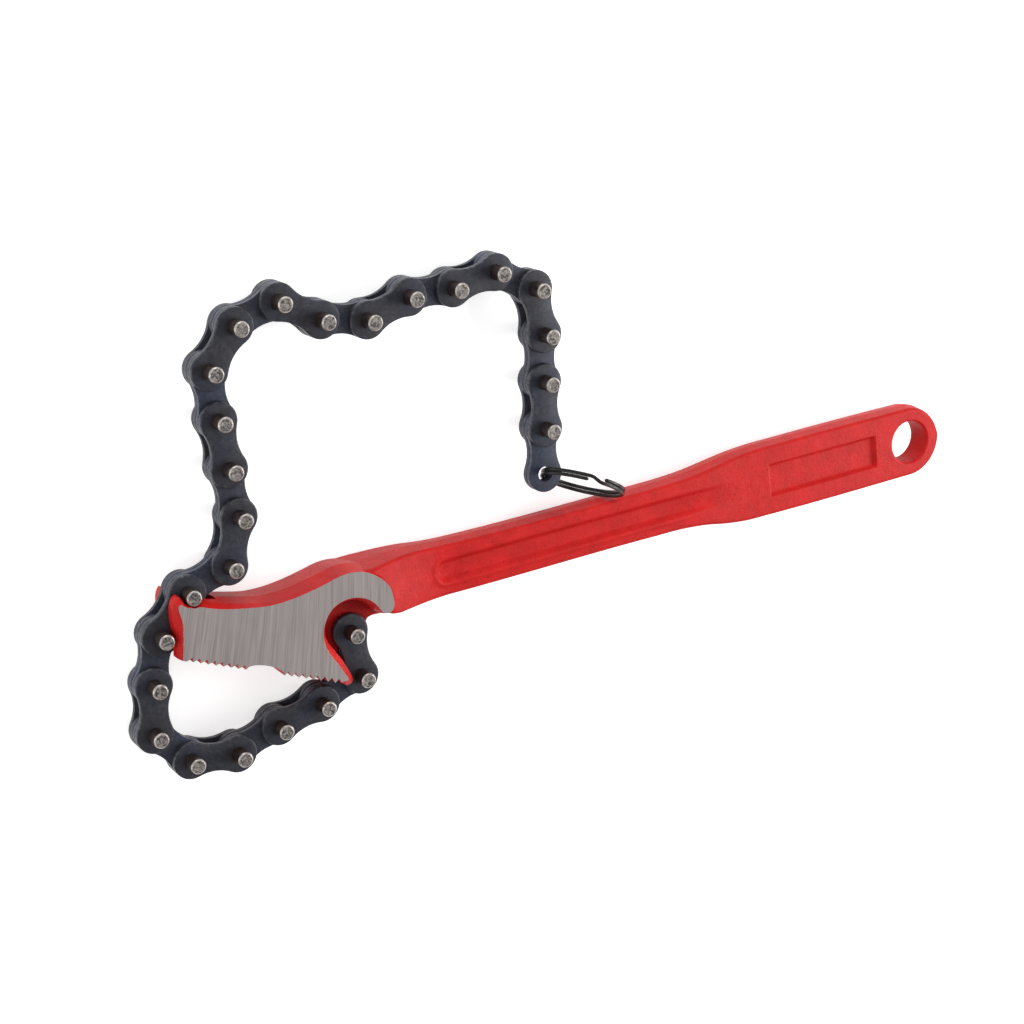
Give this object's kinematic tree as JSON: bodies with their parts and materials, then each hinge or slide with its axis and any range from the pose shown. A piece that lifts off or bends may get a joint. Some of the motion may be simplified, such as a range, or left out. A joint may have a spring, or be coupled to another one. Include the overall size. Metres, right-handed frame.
{
  "type": "chain pipe wrench",
  "caption": "Chain pipe wrench: forged handle with a toothed fork jaw and grooved shank, and a plate-link chain hooked behind the horns, with a ring on its end.",
  "frame": {"origin": "on the rear ground cheek of the jaw, on which the tool lies, near the middle of the jaw", "axes": "+X from the jaw along the shank to the grip's end, +Y to the side on which the chain's free end lies, +Z square to the cheeks, from the rear one to the front one"},
  "size_m": [0.3149, 0.1537, 0.0314],
  "materials": {
    "red_paint": "red paint on a forged surface, the cheeks ground bare",
    "blued_steel": "dark blue oxide",
    "black_wire": "black wire"
  },
  "bodies": {
    "handle": {"handle": "red_paint"},
    "link_01": {"link_01_pinned_plate": "blued_steel", "link_01_rear_plate": "blued_steel"},
    "link_02": {"link_02_front_plate": "blued_steel", "link_02_back_plate": "blued_steel"},
    "link_03": {"link_03_pinned_plate": "blued_steel", "link_03_rear_plate": "blued_steel"},
    "link_04": {"link_04_front_plate": "blued_steel", "link_04_back_plate": "blued_steel"},
    "link_05": {"link_05_pinned_plate": "blued_steel", "link_05_rear_plate": "blued_steel"},
    "link_06": {"link_06_front_plate": "blued_steel", "link_06_back_plate": "blued_steel"},
    "link_07": {"link_07_pinned_plate": "blued_steel", "link_07_rear_plate": "blued_steel"},
    "link_08": {"link_08_front_plate": "blued_steel", "link_08_back_plate": "blued_steel"},
    "link_09": {"link_09_pinned_plate": "blued_steel", "link_09_rear_plate": "blued_steel"},
    "link_10": {"link_10_front_plate": "blued_steel", "link_10_back_plate": "blued_steel"},
    "link_11": {"link_11_pinned_plate": "blued_steel", "link_11_rear_plate": "blued_steel"},
    "link_12": {"link_12_front_plate": "blued_steel", "link_12_back_plate": "blued_steel"},
    "link_13": {"link_13_pinned_plate": "blued_steel", "link_13_rear_plate": "blued_steel"},
    "link_14": {"link_14_front_plate": "blued_steel", "link_14_back_plate": "blued_steel"},
    "link_15": {"link_15_pinned_plate": "blued_steel", "link_15_rear_plate": "blued_steel"},
    "link_16": {"link_16_front_plate": "blued_steel", "link_16_back_plate": "blued_steel"},
    "link_17": {"link_17_pinned_plate": "blued_steel", "link_17_rear_plate": "blued_steel"},
    "link_18": {"link_18_front_plate": "blued_steel", "link_18_back_plate": "blued_steel"},
    "link_19": {"link_19_pinned_plate": "blued_steel", "link_19_rear_plate": "blued_steel"},
    "link_20": {"link_20_front_plate": "blued_steel", "link_20_back_plate": "blued_steel"},
    "link_21": {"link_21_pinned_plate": "blued_steel", "link_21_rear_plate": "blued_steel"},
    "link_22": {"link_22_front_plate": "blued_steel", "link_22_back_plate": "blued_steel"},
    "link_23": {"link_23_pinned_plate": "blued_steel", "link_23_rear_plate": "blued_steel"},
    "link_24": {"link_24_front_plate": "blued_steel", "link_24_back_plate": "blued_steel"},
    "link_25": {"link_25_pinned_plate": "blued_steel", "link_25_rear_plate": "blued_steel"},
    "link_26": {"link_26_front_plate": "blued_steel", "link_26_back_plate": "blued_steel"},
    "split_ring": {"split_ring": "black_wire"}
  },
  "joints": [
    {"name": "link_01_hinge", "type": "hinge", "parent": "handle", "child": "link_01", "pos_m": [0.032, -0.009, 0.0105], "axis": [0, 0, 1], "range_deg": [0, 25]},
    {"name": "link_02_hinge", "type": "hinge", "parent": "link_01", "child": "link_02", "pos_m": [0.03366, -0.02479, 0.0105], "axis": [0, 0, 1], "range_deg": [-19, 0]},
    {"name": "link_03_hinge", "type": "hinge", "parent": "link_02", "child": "link_03", "pos_m": [0.01884, -0.03048, 0.0105], "axis": [0, 0, 1], "range_deg": [-23, 0]},
    {"name": "link_04_hinge", "type": "hinge", "parent": "link_03", "child": "link_04", "pos_m": [0.00337, -0.03405, 0.0105], "axis": [0, 0, 1], "range_deg": [-10, 0]},
    {"name": "link_05_hinge", "type": "hinge", "parent": "link_04", "child": "link_05", "pos_m": [-0.01173, -0.03895, 0.0105], "axis": [0, 0, 1], "range_deg": [0, 6]},
    {"name": "link_06_hinge", "type": "hinge", "parent": "link_05", "child": "link_06", "pos_m": [-0.02741, -0.03647, 0.0105], "axis": [0, 0, 1], "range_deg": [0, 11]},
    {"name": "link_07_hinge", "type": "hinge", "parent": "link_06", "child": "link_07", "pos_m": [-0.03782, -0.02449, 0.0105], "axis": [0, 0, 1], "range_deg": [0, 28]},
    {"name": "link_08_hinge", "type": "hinge", "parent": "link_07", "child": "link_08", "pos_m": [-0.03561, -0.00877, 0.0105], "axis": [0, 0, 1], "range_deg": [0, 9]},
    {"name": "link_09_hinge", "type": "hinge", "parent": "link_08", "child": "link_09", "pos_m": [-0.03097, 0.00641, 0.0105], "axis": [0, 0, 1], "range_deg": [0, 24]},
    {"name": "link_10_hinge", "type": "hinge", "parent": "link_09", "child": "link_10", "pos_m": [-0.02014, 0.01802, 0.0105], "axis": [0, 0, 1], "range_deg": [0, 25]},
    {"name": "link_11_hinge", "type": "hinge", "parent": "link_10", "child": "link_11", "pos_m": [-0.00513, 0.02319, 0.0105], "axis": [0, 0, 1], "range_deg": [0, 45]},
    {"name": "link_12_hinge", "type": "hinge", "parent": "link_11", "child": "link_12", "pos_m": [0.0003, 0.03811, 0.0105], "axis": [0, 0, 1], "range_deg": [0, 24]},
    {"name": "link_13_hinge", "type": "hinge", "parent": "link_12", "child": "link_13", "pos_m": [-0.00053, 0.05396, 0.0105], "axis": [0, 0, 1], "range_deg": [0, 24]},
    {"name": "link_14_hinge", "type": "hinge", "parent": "link_13", "child": "link_14", "pos_m": [-0.00164, 0.0698, 0.0105], "axis": [0, 0, 1], "range_deg": [0, 24]},
    {"name": "link_15_hinge", "type": "hinge", "parent": "link_14", "child": "link_15", "pos_m": [-0.0022, 0.08566, 0.0105], "axis": [0, 0, 1], "range_deg": [0, 24]},
    {"name": "link_16_hinge", "type": "hinge", "parent": "link_15", "child": "link_16", "pos_m": [0.00801, 0.09782, 0.0105], "axis": [0, 0, 1], "range_deg": [0, 24]},
    {"name": "link_17_hinge", "type": "hinge", "parent": "link_16", "child": "link_17", "pos_m": [0.02319, 0.10247, 0.0105], "axis": [0, 0, 1], "range_deg": [0, 24]},
    {"name": "link_18_hinge", "type": "hinge", "parent": "link_17", "child": "link_18", "pos_m": [0.03665, 0.09405, 0.0105], "axis": [0, 0, 1], "range_deg": [0, 24]},
    {"name": "link_19_hinge", "type": "hinge", "parent": "link_18", "child": "link_19", "pos_m": [0.05218, 0.09075, 0.0105], "axis": [0, 0, 1], "range_deg": [0, 24]},
    {"name": "link_20_hinge", "type": "hinge", "parent": "link_19", "child": "link_20", "pos_m": [0.06744, 0.09513, 0.0105], "axis": [0, 0, 1], "range_deg": [0, 24]},
    {"name": "link_21_hinge", "type": "hinge", "parent": "link_20", "child": "link_21", "pos_m": [0.08331, 0.09485, 0.0105], "axis": [0, 0, 1], "range_deg": [0, 24]},
    {"name": "link_22_hinge", "type": "hinge", "parent": "link_21", "child": "link_22", "pos_m": [0.09903, 0.09706, 0.0105], "axis": [0, 0, 1], "range_deg": [0, 24]},
    {"name": "link_23_hinge", "type": "hinge", "parent": "link_22", "child": "link_23", "pos_m": [0.11264, 0.08889, 0.0105], "axis": [0, 0, 1], "range_deg": [0, 24]},
    {"name": "link_24_hinge", "type": "hinge", "parent": "link_23", "child": "link_24", "pos_m": [0.1143, 0.0731, 0.0105], "axis": [0, 0, 1], "range_deg": [0, 40]},
    {"name": "link_25_hinge", "type": "hinge", "parent": "link_24", "child": "link_25", "pos_m": [0.11237, 0.05734, 0.0105], "axis": [0, 0, 1], "range_deg": [0, 48]},
    {"name": "link_26_hinge", "type": "hinge", "parent": "link_25", "child": "link_26", "pos_m": [0.11098, 0.04152, 0.0105], "axis": [0, 0, 1], "range_deg": [0, 32]},
    {"name": "split_ring_swivel", "type": "hinge", "parent": "link_26", "child": "split_ring", "pos_m": [0.10987, 0.02569, 0.0105], "axis": [0, 0, 1], "range_deg": [0, 80]}
  ],
  "couplings": [
    {"joint": "link_02_hinge", "follows": "link_01_hinge", "ratio": -0.745},
    {"joint": "link_03_hinge", "follows": "link_01_hinge", "ratio": -0.905},
    {"joint": "link_04_hinge", "follows": "link_01_hinge", "ratio": -0.365},
    {"joint": "link_05_hinge", "follows": "link_01_hinge", "ratio": 0.205},
    {"joint": "link_06_hinge", "follows": "link_01_hinge", "ratio": 0.42},
    {"joint": "link_07_hinge", "follows": "link_01_hinge", "ratio": 1.105},
    {"joint": "link_08_hinge", "follows": "link_01_hinge", "ratio": 0.335},
    {"joint": "link_09_hinge", "follows": "link_01_hinge", "ratio": 0.95}
  ]
}
